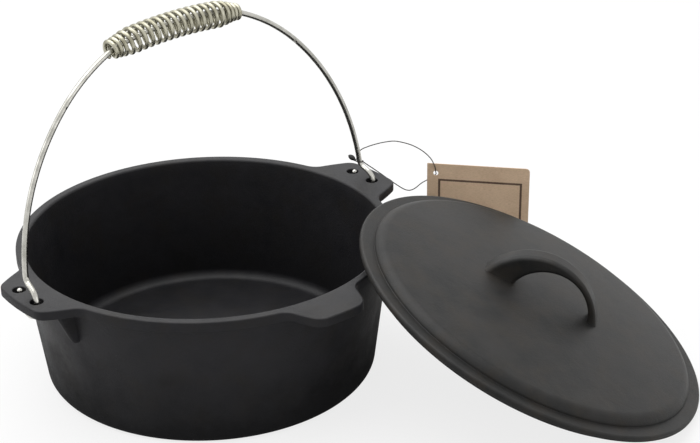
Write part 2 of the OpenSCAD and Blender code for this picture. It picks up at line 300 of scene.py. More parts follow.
def tube(name, points, radius, sides):
    """A round wire or cord along points, with rounded ends."""
    p = np.asarray(points, float)
    along = np.gradient(p, axis=0)
    along /= np.linalg.norm(along, axis=1)[:, None]
    across = np.cross(along[0], (0.31, 0.52, 0.79))
    caps = np.radians((75, 50, 25))
    first = [(p[0] - along[0] * radius * math.sin(a), along[0], radius * math.cos(a)) for a in caps]
    last = [(p[-1] + along[-1] * radius * math.sin(a), along[-1], radius * math.cos(a)) for a in caps[::-1]]
    rings = first + [(q, t, radius) for q, t in zip(p, along)] + last
    turn = np.linspace(0, 2 * math.pi, sides, endpoint=False)
    verts = [p[0] - along[0] * radius]
    for middle, ahead, r in rings:
        across = across - ahead * (across @ ahead)
        across /= np.linalg.norm(across)
        other = np.cross(ahead, across)
        verts.extend(middle + r * (np.cos(turn)[:, None] * across + np.sin(turn)[:, None] * other))
    verts.append(p[-1] + along[-1] * radius)
    return mesh_of(name, verts, ring_faces(len(rings), sides))


def ring_faces(rings, sides):
    """Faces of a stack of closed rings, with vertex 0 and the last one as its two poles."""
    faces = []
    for k in range(sides):
        m = (k + 1) % sides
        faces.append((0, 1 + m, 1 + k))
        top = 1 + (rings - 1) * sides
        faces.append((top + k, top + m, 1 + rings * sides))
    for i in range(rings - 1):
        a = 1 + i * sides
        for k in range(sides):
            m = (k + 1) % sides
            faces.append((a + k, a + m, a + sides + m, a + sides + k))
    return faces


def turned(name, profile, sides):
    """A profile of (radius, height) points turned about Z, from one pole to the other."""
    a = np.linspace(0, 2 * math.pi, sides, endpoint=False)
    verts = [(0, 0, profile[0][1])]
    for r, z in profile[1:-1]:
        verts.extend(np.stack([r * np.cos(a), r * np.sin(a), np.full(sides, z)], 1))
    verts.append((0, 0, profile[-1][1]))
    return mesh_of(name, verts, ring_faces(len(profile) - 2, sides))


def on_bail(points):
    x, y, z = np.asarray(points, float).T
    c, s = cosd(BAIL_LEAN), sind(BAIL_LEAN)
    return np.stack([x, y * c + z * s, HINGE_Z - y * s + z * c], 1)


def set_camera():
    level = Vector((cosd(CAMERA_TURN), -sind(CAMERA_TURN), 0))
    ahead = Vector((cosd(CAMERA_PITCH) * sind(CAMERA_TURN), cosd(CAMERA_PITCH) * cosd(CAMERA_TURN),
                    -sind(CAMERA_PITCH)))
    above = level.cross(ahead)
    right = level * cosd(CAMERA_ROLL) + above * sind(CAMERA_ROLL)
    up = above * cosd(CAMERA_ROLL) - level * sind(CAMERA_ROLL)
    lens = bpy.data.cameras.new("camera")
    lens.sensor_width = SENSOR_W
    lens.lens = FOCAL_PX * SENSOR_W / PICTURE_W
    lens.clip_end = 20
    camera = bpy.data.objects.new("camera", lens)
    camera.matrix_world = (Matrix.Translation(Vector(CAMERA_PLACE) * MM)
                           @ Matrix((right, up, -ahead)).transposed().to_4x4())
    bpy.context.scene.collection.objects.link(camera)
    bpy.context.scene.camera = camera


def make_tie():
    route = np.concatenate([LEG_TOP + np.array(KNOT_OUT), TAG_EYE + np.array(TAG_LOOP),
                            LEG_TOP + np.array(KNOT_BACK)])
    path = curve_through(route, 6)
    tie = thing("tie", tube("tie", path, TIE_D / 2, 10))
    tie.data.shade_smooth()
    return tie, path


def make_leaf():
    r = (LEAF_L ** 2 + LEAF_D ** 2) / (4 * LEAF_D)
    reach = math.degrees(math.asin(LEAF_L / 2 / r))
    side = arc((LEAF_D / 2 - r, 0), r, -reach, reach, 16)
    side[0, 0] = side[-1, 0] = 0
    leaf = thing("leaf", turned("leaf", side, 20))
    lean = Matrix.Rotation(math.radians(LEAF_LEAN), 4, "X")
    leaf.data.transform(Matrix.Translation(Vector(LEAF_PLACE) * MM) @ lean)
    leaf.data.shade_smooth()
    return leaf


def make_tag():
    corner = (TAG_W - TAG_ROUND, TAG_H - TAG_ROUND)
    outline = chain(line((0, 0), (TAG_W, 0), 1), arc(corner, TAG_ROUND, 0, 90, 8), [(0, TAG_H)])
    eye = arc(TAG_HOLE, TAG_HOLE_D / 2, 0, 360, 32)[:-1]
    bm = bmesh.new()
    for loop in (outline, eye):
        corners = [bm.verts.new((x * MM, y * MM, 0)) for x, y in loop]
        for i, v in enumerate(corners):
            bm.edges.new((v, corners[i - 1]))
    bmesh.ops.triangle_fill(bm, edges=bm.edges[:], use_beauty=True, normal=(0, 0, 1))
    face = bmesh.ops.extrude_face_region(bm, geom=bm.faces[:])
    bmesh.ops.translate(bm, verts=[v for v in face["geom"] if isinstance(v, bmesh.types.BMVert)],
                        vec=(0, 0, TAG_T * MM))
    bmesh.ops.recalc_face_normals(bm, faces=bm.faces)
    rims = [e for e in bm.edges if len(e.link_faces) == 2 and e.calc_face_angle() > 1.0]
    bmesh.ops.bevel(bm, geom=rims, offset=TAG_EDGE * MM, segments=2, affect="EDGES")
    mesh = bpy.data.meshes.new("tag")
    bm.to_mesh(mesh)
    bm.free()
    x_axis = Vector((cosd(TAG_AZIMUTH), sind(TAG_AZIMUTH), 0))
    y_axis = Vector((0, 0, 1))
    place = (Matrix.Translation(Vector(TAG_PLACE) * MM)
             @ Matrix((x_axis, y_axis, x_axis.cross(y_axis))).transposed().to_4x4())
    tag = thing("tag", mesh, place)
    soften(tag, TAG_CREASE)
    return tag


def wall_at(z):
    return RIM_R - BAND_OUT - (BAND_Z - z) * tand(DRAFT)


def lug_edge(lug, inset):
    """Half outline of an ear or the tab, moved in by inset: bearings from its middle, and radii."""
    tip = np.array([lug["reach"] - LUG_TRIM, lug["half"]])
    side = tip - np.array([RIM_R + LUG_TRIM, lug["root_half"]])
    side /= np.linalg.norm(side)
    out = np.array([-side[1], side[0]])

    def meet(p, r):
        return p + side * (math.sqrt((p @ side) ** 2 - p @ p + r * r) - p @ side)

    corner = meet(tip - lug["corner"] * out, lug["reach"] - lug["corner"])
    dish = meet(tip + lug["fillet"] * out, RIM_R + lug["fillet"])
    edge = chain(
        arc((0, 0), lug["reach"] - inset, 0, bearing(corner), 12),
        arc(corner, lug["corner"] - inset, bearing(corner), bearing(out), 10),
        arc(dish, lug["fillet"] + inset, bearing(out) - 180, bearing(-dish), 14),
    )
    return np.degrees(np.arctan2(edge[:, 1], edge[:, 0])), np.linalg.norm(edge, axis=1)


def rim_at(angles, inset):
    """Radius of the rim's outer edge, ears and tab included, moved in by inset."""
    r = np.full(len(angles), RIM_R - inset)
    for lug, middle in LUGS:
        off = np.abs((angles - middle + 180) % 360 - 180)
        bearings, radii = lug_edge(lug, inset)
        r = np.maximum(r, np.interp(off, bearings, radii, right=RIM_R - inset))
    return r


def make_pot():
    near_lug = np.arange(-LUG_SPAN, LUG_SPAN + 0.01, 0.25)
    angles = np.unique(np.round(np.concatenate(
        [np.arange(0, 360, 1.0), near_lug % 360, near_lug + 180, (near_lug + TAB_AZIMUTH) % 360]), 3))
    count = len(angles)
    rings = []

    def ring(r, z):
        rings.append((np.broadcast_to(r, count), np.broadcast_to(z, count)))

    lean = cosd(DRAFT)
    base = arc((wall_at(BASE_ROUND) - BASE_ROUND / lean, BASE_ROUND), BASE_ROUND, -90, -DRAFT, 8)
    for share in SHARES:
        ring(base[0, 0] * share, 0)
    for r, z in base:
        ring(r, z)
    under_band = BAND_Z - BAND_FILLET
    for z in np.linspace(BASE_ROUND + 2, under_band, 22):
        ring(wall_at(z), z)
    for r, z in arc((wall_at(under_band) + BAND_FILLET, under_band), BAND_FILLET, 180, 90, 5)[1:]:
        ring(r, z)
    band_edge = RIM_R - EDGE_ROUND
    low_edge = rim_at(angles, EDGE_ROUND)
    for share in np.linspace(0, 1, 8):
        r = band_edge + (low_edge - band_edge) * share
        low_z = BAND_Z + np.clip((r - band_edge) / EAR_STEP, 0, 1) * (EAR_Z - BAND_Z)
        ring(r, low_z)
    for a in (-67.5, -45, -22.5, 0):
        ring(rim_at(angles, EDGE_ROUND * (1 - cosd(a))), low_z + EDGE_ROUND * (1 + sind(a)))
    top = POT_H - EDGE_ROUND
    for share in (0.33, 0.67):
        ring(rim_at(angles, 0), low_z + EDGE_ROUND + (top - low_z - EDGE_ROUND) * share)
    for a in (0, 18, 36, 54, 72, 90):
        ring(rim_at(angles, EDGE_ROUND * (1 - cosd(a))), top + EDGE_ROUND * sind(a))
    lip = arc((wall_at(POT_H) - WALL_T + LIP_ROUND, POT_H - LIP_ROUND), LIP_ROUND, 90, 180 - DRAFT, 8)
    for share in np.linspace(0, 1, 9)[1:-1]:
        ring(low_edge + (lip[0, 0] - low_edge) * share, POT_H)
    for r, z in lip:
        ring(r, z)
    inside_z = FLOOR_T + FLOOR_ROUND
    for z in np.linspace(lip[-1, 1] - 3, inside_z + 2, 20):
        ring(wall_at(z) - WALL_T, z)
    well = arc((wall_at(inside_z) - WALL_T - FLOOR_ROUND / lean, inside_z), FLOOR_ROUND, -DRAFT, -90, 12)
    for r, z in well:
        ring(r, z)
    for share in SHARES[::-1]:
        ring(well[-1, 0] * share, FLOOR_T)
    a = np.radians(angles)
    verts = [(0, 0, 0)]
    for r, z in rings:
        verts.extend(np.stack([r * np.cos(a), r * np.sin(a), z], 1))
    verts.append((0, 0, FLOOR_T))
    pot = thing("pot_body", mesh_of("pot_body", verts, ring_faces(len(rings), count)))
    steps = [(make_rib(x, y), "UNION") for x in (-1, 1) for y in (-1, 1)]
    steps += [(make_hole(x * HOLE_X, y * HOLE_Y), "DIFFERENCE") for x in (-1, 1) for y in (-1, 1)]
    combine(pot, steps)
    soften(pot, CAST_CREASE)
    return pot


def make_rib(x_side, y_side):
    low = EAR_Z - RIB_H
    outer = RIB_Y + RIB_T
    foot = math.sqrt(wall_at(low) ** 2 - outer ** 2) - JOIN
    head = math.sqrt(wall_at(EAR_Z) ** 2 - outer ** 2) - RIB_SINK
    chin = foot + RIB_CHIN
    top = EAR_Z + JOIN
    outline = [(foot - RIB_SINK, low), (chin - RIB_CUT, low), (chin, low + RIB_CUT),
               (RIB_REACH, top), (head, top)]
    bm = bmesh.new()
    near = [bm.verts.new((x_side * x * MM, y_side * RIB_Y * MM, z * MM)) for x, z in outline]
    far = [bm.verts.new((x_side * x * MM, y_side * outer * MM, z * MM)) for x, z in outline]
    bm.faces.new(near)
    bm.faces.new(far[::-1])
    for i in range(len(outline)):
        bm.faces.new((near[i], far[i], far[i - 1], near[i - 1]))
    bmesh.ops.recalc_face_normals(bm, faces=bm.faces)
    edges = [bm.edges.get((side[i], side[i + 1])) for side in (near, far) for i in (0, 1, 2)]
    edges += [bm.edges.get((near[i], far[i])) for i in (1, 2)]
    bmesh.ops.bevel(bm, geom=edges, offset=RIB_ROUND * MM, segments=4, profile=0.5, affect="EDGES")
    mesh = bpy.data.meshes.new("rib")
    bm.to_mesh(mesh)
    bm.free()
    return thing("rib", mesh)


def make_hole(x, y):
    wide = HOLE_R + HOLE_ROUND
    below = EAR_Z - 6
    above = POT_H + 4
    profile = chain(
        [(0, below), (wide, below)],
        arc((wide, EAR_Z + HOLE_ROUND), HOLE_ROUND, 270, 180, 5),
        arc((wide, POT_H - HOLE_ROUND), HOLE_ROUND, 180, 90, 5),
        [(wide, above), (0, above)],
    )
    hole = turned("hole", profile, 40)
    hole.transform(Matrix.Translation((x * MM, y * MM, 0)))
    return thing("hole", hole)


def half_bail(bend_h, hook_r, splay):
    """Path of the bail's right half, from the hook's tail up to the haunch."""
    turn = math.degrees(math.acos(hook_r / bend_h))
    top = bend_h + BEND_R * tand(45 - turn / 2)
    start = hook_r * np.array([sind(turn), cosd(turn)])
    stop = np.array([BEND_R - BEND_R * sind(turn), top - BEND_R * cosd(turn)])
    leg = chain(
        arc((0, 0), hook_r, 90 - TAIL_TURN, 90 - turn, 60),
        line(start, stop, 6),
        arc((BEND_R, top), BEND_R, 270 - turn, 180, 10),
    )
    side = arc(SIDE_C, SIDE_R, math.degrees(math.asin((top - SIDE_C[1]) / SIDE_R)), HAUNCH, 60)
    out = side[0, 0] + splay * np.clip((top - leg[:, 1]) / (top - SPLAY_END), 0, 1)
    return np.concatenate([
        np.stack([out, -leg[:, 0], leg[:, 1]], 1),
        np.stack([side[:, 0], np.zeros(len(side)), side[:, 1]], 1),
    ])


def make_bail():
    low = bearing(NOOK)
    high = bearing((NOOK[0], NOOK[1] + CROWN_DROP))
    crown = chain(
        arc(NOOK, NOOK_R, low, high, 6),
        arc((0, -CROWN_DROP), CROWN_R, high, 180 - high, 40),
        arc((-NOOK[0], NOOK[1]), NOOK_R, 180 - high, 180 - low, 6),
    )
    c, s = cosd(COIL_SHIFT), sind(COIL_SHIFT)
    crown = crown @ np.array([(c, s), (-s, c)])
    arch = np.array([0, ARCH_LIFT]) + chain(
        arc((0, 0), TOP_R, HAUNCH, low + COIL_SHIFT, 30),
        crown,
        arc((0, 0), TOP_R, 180 - low + COIL_SHIFT, 180 - HAUNCH, 30),
    )
    over = np.stack([arch[:, 0], np.zeros(len(arch)), arch[:, 1]], 1)
    left = half_bail(LEFT_BEND_H, LEFT_HOOK_R, LEFT_SPLAY)[::-1] * np.array([-1, 1, 1])
    path = on_bail(chain(half_bail(RIGHT_BEND_H, RIGHT_HOOK_R, RIGHT_SPLAY), over, left))
    bail = thing("bail_wire", tube("bail_wire", path, WIRE_D / 2, 20))
    bail.data.shade_smooth()
    return bail


def make_coil():
    length = 2 * CLOSE_TURNS * CLOSE_PITCH + OPEN_TURNS * OPEN_PITCH
    turns = 2 * CLOSE_TURNS + OPEN_TURNS
    t = np.linspace(0, turns, turns * 48 + 1)
    x = (np.minimum(t, CLOSE_TURNS) * CLOSE_PITCH
         + np.clip(t - CLOSE_TURNS, 0, OPEN_TURNS) * OPEN_PITCH
         + np.maximum(t - CLOSE_TURNS - OPEN_TURNS, 0) * CLOSE_PITCH - length / 2)
    full = 0.5 - 0.5 * np.cos(math.pi * np.minimum(1, (length / 2 - np.abs(x)) / COIL_TAPER))
    end = np.where(x > 0, COIL_FAR_D, COIL_END_D)
    r = (end + (COIL_D - end) * full - COIL_WIRE) / 2
    lean = np.arctan(-8 * COIL_BOW * x / length ** 2)
    a = 2 * math.pi * t + COIL_START
    along = x - r * np.sin(lean) * np.cos(a)
    seat = COIL_SEAT - COIL_TIP * (x / length + 0.5)
    up = seat + COIL_BOW * (1 - (2 * x / length) ** 2) + r * np.cos(lean) * np.cos(a)
    c, s = cosd(COIL_SHIFT), sind(COIL_SHIFT)
    points = np.stack([along * c - up * s, -r * np.sin(a), ARCH_LIFT + along * s + up * c], 1)
    coil = thing("coil", tube("coil", on_bail(points), COIL_WIRE / 2, 14))
    coil.data.shade_smooth()
    return coil


def make_lid():
    dome_r = (STEP_R ** 2 + DOME_H ** 2) / (2 * DOME_H)
    dome_z = CROWN_H - dome_r
    shoulder_z = dome_z + math.sqrt((dome_r - SHOULDER_R) ** 2 - SHOULDER_IN ** 2)
    shoulder_a = math.degrees(math.atan2(shoulder_z - dome_z, SHOULDER_IN))
    toe_a = math.degrees(math.asin((TOE_H - shoulder_z) / SHOULDER_R))
    toe = SHOULDER_IN + SHOULDER_R * cosd(toe_a)
    hollow = STEP_R - LID_T - UNDER_ROUND
    hollow_z = dome_z + math.sqrt((dome_r - LID_T - UNDER_ROUND) ** 2 - hollow ** 2)
    hollow_a = math.degrees(math.atan2(hollow_z - dome_z, hollow))
    edge = LID_R - LID_EDGE
    under = -LID_T - SKIRT_H
    profile = chain(
        arc((0, dome_z), dome_r, 90, shoulder_a, 30),
        arc((SHOULDER_IN, shoulder_z), SHOULDER_R, shoulder_a, toe_a, 12),
        [(toe + 0.1, 0.3)],
        line((toe + 0.4, 0), (edge, 0), 4),
        arc((edge, -LID_EDGE), LID_EDGE, 90, 0, 6),
        arc((edge, LID_EDGE - LID_T), LID_EDGE, 0, -90, 6),
        [(SKIRT_RO, -LID_T)],
        arc((SKIRT_RO - SKIRT_ROUND, under + SKIRT_ROUND), SKIRT_ROUND, 0, -90, 3),
        arc((SKIRT_RI + SKIRT_ROUND, under + SKIRT_ROUND), SKIRT_ROUND, -90, -180, 3),
        [(SKIRT_RI, -LID_T), (STEP_R - LID_T, -LID_T)],
        arc((hollow, hollow_z), UNDER_ROUND, 0, hollow_a, 4),
        arc((0, dome_z), dome_r - LID_T, hollow_a, 90, 30),
    )
    profile[0, 0] = profile[-1, 0] = 0
    place = (Matrix.Rotation(math.radians(LID_AZIMUTH), 4, "Z") @ Matrix.Translation(Vector(LID_PLACE) * MM)
             @ Matrix.Rotation(math.radians(LID_LEAN), 4, "Y"))
    lid = thing("lid_plate", turned("lid_plate", profile, 288))
    combine(lid, [(make_handle(), "UNION")])
    lid.data.transform(place)
    soften(lid, CAST_CREASE)
    return lid


def make_handle():
    outer_z = CROWN_H + HANDLE_RISE - HANDLE_RO
    inner_z = CROWN_H + GRIP_RISE - HANDLE_RI
    sunk = CROWN_H - HANDLE_SINK
    outer_a = math.degrees(math.asin((sunk - outer_z) / HANDLE_RO))
    inner_a = math.degrees(math.asin((sunk - inner_z) / HANDLE_RI))
    outer = arc((0, outer_z), HANDLE_RO, 180 - outer_a, outer_a, HANDLE_STEPS)
    inner = arc((GRIP_SHIFT, inner_z), HANDLE_RI, 180 - inner_a, inner_a, HANDLE_STEPS)
    sections = []
    for far, near in zip(outer, inner):
        middle = (far + near) / 2
        thick = np.linalg.norm(far - near) / 2
        out = (far - near) / (2 * thick)
        low = max(0.0, min(far[1], near[1]) - sunk)
        spread = ROOT_SPREAD * math.exp(-low / ROOT_FADE)
        half_t = thick + spread * 0.6
        half_w = HANDLE_W / 2 + spread
        round_r = min(HANDLE_ROUND, half_t * 0.85)
        loop = []
        for sx, sy, start in ((1, 1, 0), (-1, 1, 90), (-1, -1, 180), (1, -1, 270)):
            corner = (sx * (half_t - round_r), sy * (half_w - round_r))
            loop.extend(arc(corner, round_r, start, start + 90, 6))
        sections.append([(middle[0] + out[0] * a, b, middle[1] + out[1] * a) for a, b in loop])
    sides = len(sections[0])
    verts = [np.mean(sections[0], axis=0)]
    for loop in sections:
        verts.extend(loop)
    verts.append(np.mean(sections[-1], axis=0))
    handle = mesh_of("handle", verts, ring_faces(len(sections), sides))
    handle.transform(Matrix.Rotation(math.radians(HANDLE_TURN), 4, "Z"))
    return thing("handle", handle)


class Finish:
    """A node tree being wired for one finish."""

    def __init__(self, tree):
        self.tree = tree

    def add(self, kind, values=(), **settings):
        node = self.tree.nodes.new("ShaderNode" + kind)
        for key, value in settings.items():
            setattr(node, key, value)
        for key, value in dict(values).items():
            if hasattr(value, "is_output"):
                self.tree.links.new(value, node.inputs[key])
            else:
                node.inputs[key].default_value = value
        return node

    def sum(self, operation, a, b):
        return self.add("Math", {0: a, 1: b}, operation=operation).outputs[0]

    def noise(self, where, scale, detail, rough=0.55):
        values = {"Vector": where, "Scale": scale, "Detail": detail, "Roughness": rough}
        return self.add("TexNoise", values).outputs["Fac"]

    def span(self, value, low, high, to_low=0.0, to_high=1.0):
        return self.add("MapRange", {0: value, 1: low, 2: high, 3: to_low, 4: to_high}, clamp=True).outputs[0]

    def tint(self, amount, a, b):
        return self.add("Mix", {0: amount, 6: a, 7: b}, data_type="RGBA").outputs[2]


def new_finish(name):
    material = bpy.data.materials.new(name)
    material.use_nodes = True
    material.node_tree.nodes.clear()
    f = Finish(material.node_tree)
    out = f.add("OutputMaterial")
    skin = f.add("BsdfPrincipled")
    material.node_tree.links.new(skin.outputs[0], out.inputs[0])
    return material, f, skin


def feed(f, skin, **inputs):
    for key, value in inputs.items():
        socket = skin.inputs[key.replace("_", " ")]
        if hasattr(value, "is_output"):
            f.tree.links.new(value, socket)
        else:
            socket.default_value = value


def new_group(name, inputs, outputs):
    tree = bpy.data.node_groups.new(name, "ShaderNodeTree")
    for key, kind in inputs:
        tree.interface.new_socket(key, in_out="INPUT", socket_type=kind)
    for key, kind in outputs:
        tree.interface.new_socket(key, in_out="OUTPUT", socket_type=kind)
    f = Finish(tree)
    f.source = tree.nodes.new("NodeGroupInput")
    f.result = tree.nodes.new("NodeGroupOutput")
    return tree, f


def sand_cast_group():
    """Seasoned sand casting: mottling, fine grain, pin holes, rubbed edges with a painted edge highlight, oil
    on top, painted shade towards the bottom and on undersides.
    """
    tree, f = new_group("sand_cast", [("Dark", "NodeSocketColor"), ("Pale", "NodeSocketColor"),
                                      ("Stain", "NodeSocketColor"), ("Rubbed_Highlight", "NodeSocketColor"),
                                      ("Dull", "NodeSocketFloat"), ("Oil", "NodeSocketFloat"),
                                      ("Painted_Shade_Height", "NodeSocketFloat")],
                        [("Color", "NodeSocketColor"), ("Roughness", "NodeSocketFloat"),
                         ("Film", "NodeSocketFloat"), ("Height", "NodeSocketFloat")])
    place = f.add("TexCoord")
    where = place.outputs["Object"]
    facing = f.add("SeparateXYZ", {0: place.outputs["Normal"]}).outputs[2]
    height = f.add("SeparateXYZ", {0: where}).outputs[2]
    top = f.span(facing, 0.2, 0.85)
    # downward-facing mask, used below for painted shade under the ears, the lid and other undersides
    under = f.span(facing, -0.15, -0.6)
    cloud = f.noise(where, 26, 5, 0.6)
    patch = f.noise(where, 90, 4)
    grain = f.noise(where, 1150, 3, 0.6)
    sand = f.noise(where, 620, 2, 0.7)
    pits = f.add("TexVoronoi", {"Vector": where, "Scale": 420.0}).outputs["Distance"]
    pit = f.span(pits, 0.0, 0.22)
    tone = f.sum("ADD", f.sum("MULTIPLY", cloud, 0.65), f.sum("MULTIPLY", patch, 0.35))
    base = f.tint(f.span(tone, 0.36, 0.64), f.source.outputs["Dark"], f.source.outputs["Pale"])
    blotch = f.span(f.noise(where, 44, 6, 0.68), 0.46, 0.66, 0.0, 0.8)
    base = f.tint(blotch, base, f.source.outputs["Stain"])
    # painted shade: colour darkened to near black towards the bottom of the wall, below the given height, and
    # on downward-facing surfaces
    climb = f.sum("ADD", f.source.outputs["Painted_Shade_Height"], f.span(cloud, 0.3, 0.7, -0.02, 0.02))
    painted_shade = f.sum("MULTIPLY", f.span(f.sum("SUBTRACT", climb, height), -0.025, 0.03), f.span(facing, 0.3, 0.1))
    painted_shade = f.sum("MAXIMUM", f.sum("MULTIPLY", under, 0.6), f.sum("MULTIPLY", painted_shade, 0.85))
    base = f.tint(painted_shade, base, (0.003, 0.003, 0.0035, 1))
    # rubbed edges, partly real wear and partly a painted edge highlight: pointy edges that do not face down
    # are lightened towards the rubbed colour
    edge = f.span(f.add("NewGeometry").outputs["Pointiness"], 0.51, 0.58, 0.0, 0.7)
    rub_and_highlight = f.sum("MULTIPLY", f.sum("MULTIPLY", edge, f.span(patch, 0.35, 0.6)), f.span(facing, -0.3, 0.2))
    worn_and_highlit = f.tint(rub_and_highlight, base, f.source.outputs["Rubbed_Highlight"])
    f.tree.links.new(worn_and_highlit, f.result.inputs["Color"])
    dull = f.sum("ADD", f.source.outputs["Dull"], f.span(tone, 0.3, 0.7, -0.07, 0.07))
    dull = f.sum("ADD", dull, f.sum("MULTIPLY", painted_shade, 0.3))
    f.tree.links.new(f.sum("ADD", dull, f.span(grain, 0.3, 0.7, -0.05, 0.05)), f.result.inputs["Roughness"])
    film = f.sum("MULTIPLY", top, f.source.outputs["Oil"])
    film = f.sum("MULTIPLY", film, f.span(tone, 0.35, 0.65, 0.7, 1.3))
    f.tree.links.new(film, f.result.inputs["Film"])
    bumps = f.sum("ADD", f.sum("MULTIPLY", f.sum("ADD", grain, sand), 0.8), f.sum("MULTIPLY", patch, 0.9))
    f.tree.links.new(f.sum("ADD", bumps, f.sum("MULTIPLY", pit, 0.25)), f.result.inputs["Height"])
    return tree


def iron_finish(name, group, dark, pale, stain, rubbed_highlight, dull, shine, oil, painted_shade):
    material, f, skin = new_finish(name)
    cast = f.add("Group", node_tree=group)
    for key, value in (("Dark", dark), ("Pale", pale), ("Stain", stain), ("Rubbed_Highlight", rubbed_highlight)):
        cast.inputs[key].default_value = (*value, 1)
    cast.inputs["Dull"].default_value = dull
    cast.inputs["Oil"].default_value = oil
    # the Soot input is the height up to which painted shade darkens the bottom
    cast.inputs["Painted_Shade_Height"].default_value = painted_shade
    bump = f.add("Bump", {"Height": cast.outputs["Height"], "Strength": 0.7, "Distance": 0.0003})
    feed(f, skin, Base_Color=cast.outputs["Color"], Roughness=cast.outputs["Roughness"],
         Normal=bump.outputs[0], Specular_IOR_Level=shine, Coat_Weight=cast.outputs["Film"],
         Coat_Roughness=0.42)
    return material


def drawn_wire_group():
    """Plated wire: slight cloudiness and fine scratches."""
    tree, f = new_group("drawn_wire", [("Bright", "NodeSocketColor"), ("Stain", "NodeSocketColor"),
                                       ("Dull", "NodeSocketFloat")],
                        [("Color", "NodeSocketColor"), ("Roughness", "NodeSocketFloat"),
                         ("Height", "NodeSocketFloat")])
    where = f.add("TexCoord").outputs["Object"]
    cloud = f.noise(where, 140, 4)
    scratch = f.noise(where, 1400, 3, 0.7)
    f.tree.links.new(f.tint(f.span(cloud, 0.38, 0.68), f.source.outputs["Bright"], f.source.outputs["Stain"]),
                     f.result.inputs["Color"])
    dull = f.sum("ADD", f.source.outputs["Dull"], f.span(cloud, 0.3, 0.7, -0.04, 0.08))
    f.tree.links.new(f.sum("ADD", dull, f.span(scratch, 0.3, 0.7, -0.03, 0.05)), f.result.inputs["Roughness"])
    f.tree.links.new(f.sum("ADD", f.sum("MULTIPLY", scratch, 0.5), cloud), f.result.inputs["Height"])
    return tree


def wire_finish(name, group, bright, stain, dull):
    material, f, skin = new_finish(name)
    wire = f.add("Group", node_tree=group)
    wire.inputs["Bright"].default_value = (*bright, 1)
    wire.inputs["Stain"].default_value = (*stain, 1)
    wire.inputs["Dull"].default_value = dull
    bump = f.add("Bump", {"Height": wire.outputs["Height"], "Strength": 0.3, "Distance": 0.00008})
    feed(f, skin, Base_Color=wire.outputs["Color"], Roughness=wire.outputs["Roughness"],
         Normal=bump.outputs[0], Metallic=1.0)
    return material


def past(f, axis, limits):
    """How far a place lies past the nearer of two limits along one axis."""
    low, high = (v * MM for v in limits)
    offset = f.sum("SUBTRACT", axis, (low + high) / 2)
    return f.sum("SUBTRACT", f.sum("ABSOLUTE", offset, 0.0), (high - low) / 2)


def card_finish():
    """Kraft card with pulp fibres and a printed border on its front."""
    material, f, skin = new_finish("card")
    where = f.add("TexCoord").outputs["Object"]
    axes = f.add("SeparateXYZ", {0: where})
    stretch = f.add("Mapping", {"Vector": where, "Scale": (0.35, 1.6, 1.0)}).outputs[0]
    fibre = f.noise(stretch, 1300, 4, 0.65)
    cloud = f.noise(where, 60, 5, 0.6)
    speck = f.noise(where, 2100, 2)
    paper = f.tint(f.span(cloud, 0.35, 0.65), (0.72, 0.525, 0.36, 1), (0.8, 0.595, 0.415, 1))
    paper = f.tint(f.span(fibre, 0.42, 0.72, 0.0, 0.5), paper, (0.48, 0.33, 0.21, 1))
    paper = f.tint(f.span(speck, 0.68, 0.74, 0.0, 0.5), paper, (0.2, 0.13, 0.08, 1))
    wide = past(f, axes.outputs[0], BORDER_ACROSS)
    tall = past(f, axes.outputs[1], BORDER_UP)
    inside = f.sum("MAXIMUM", wide, tall)
    ragged = f.sum("ADD", f.sum("ABSOLUTE", inside, 0.0), f.span(speck, 0.3, 0.7, -0.00012, 0.00012))
    border = f.span(ragged, BORDER_CORE * MM, BORDER_FADE * MM, 1.0, 0.0)
    front = f.span(axes.outputs[2], (TAG_T - 0.2) * MM, (TAG_T - 0.1) * MM)
    ink = f.sum("MULTIPLY", f.sum("MULTIPLY", border, front), f.span(cloud, 0.2, 0.7, 1.0, 0.85))
    colour = f.tint(ink, paper, (0.07, 0.036, 0.027, 1))
    pulp = f.sum("ADD", fibre, f.sum("MULTIPLY", cloud, 1.5))
    bump = f.add("Bump", {"Height": pulp, "Strength": 0.4, "Distance": 0.00012})
    feed(f, skin, Base_Color=colour, Roughness=f.span(fibre, 0.3, 0.7, 0.72, 0.9), Normal=bump.outputs[0],
         Specular_IOR_Level=0.25)
    return material


def cord_finish():
    """Thin dark waxed cord with a twist."""
    material, f, skin = new_finish("cord")
    where = f.add("TexCoord").outputs["Object"]
    twist = f.add("TexWave", {"Vector": where, "Scale": 420.0, "Distortion": 2.0, "Detail": 2.0},
                  bands_direction="DIAGONAL")
    fuzz = f.noise(where, 2600, 2)
    strand = f.sum("ADD", f.sum("MULTIPLY", twist.outputs["Fac"], 0.6), f.sum("MULTIPLY", fuzz, 0.4))
    colour = f.tint(f.span(strand, 0.2, 0.8), (0.012, 0.01, 0.009, 1), (0.05, 0.043, 0.038, 1))
    bump = f.add("Bump", {"Height": strand, "Strength": 0.5, "Distance": 0.0001})
    feed(f, skin, Base_Color=colour, Roughness=f.span(fuzz, 0.3, 0.7, 0.5, 0.75), Normal=bump.outputs[0])
    return material


def leaf_finish():
    """Dark moulded end with faint flow marks."""
    material, f, skin = new_finish("cord_end")
    where = f.add("TexCoord").outputs["Object"]
    flow = f.noise(f.add("Mapping", {"Vector": where, "Scale": (1.0, 1.0, 0.25)}).outputs[0], 900, 4)
    colour = f.tint(f.span(flow, 0.35, 0.65), (0.009, 0.009, 0.009, 1), (0.02, 0.019, 0.019, 1))
    bump = f.add("Bump", {"Height": flow, "Strength": 0.4, "Distance": 0.0001})
    feed(f, skin, Base_Color=colour, Roughness=f.span(flow, 0.3, 0.7, 0.35, 0.5), Normal=bump.outputs[0],
         Specular_IOR_Level=0.25)
    return material


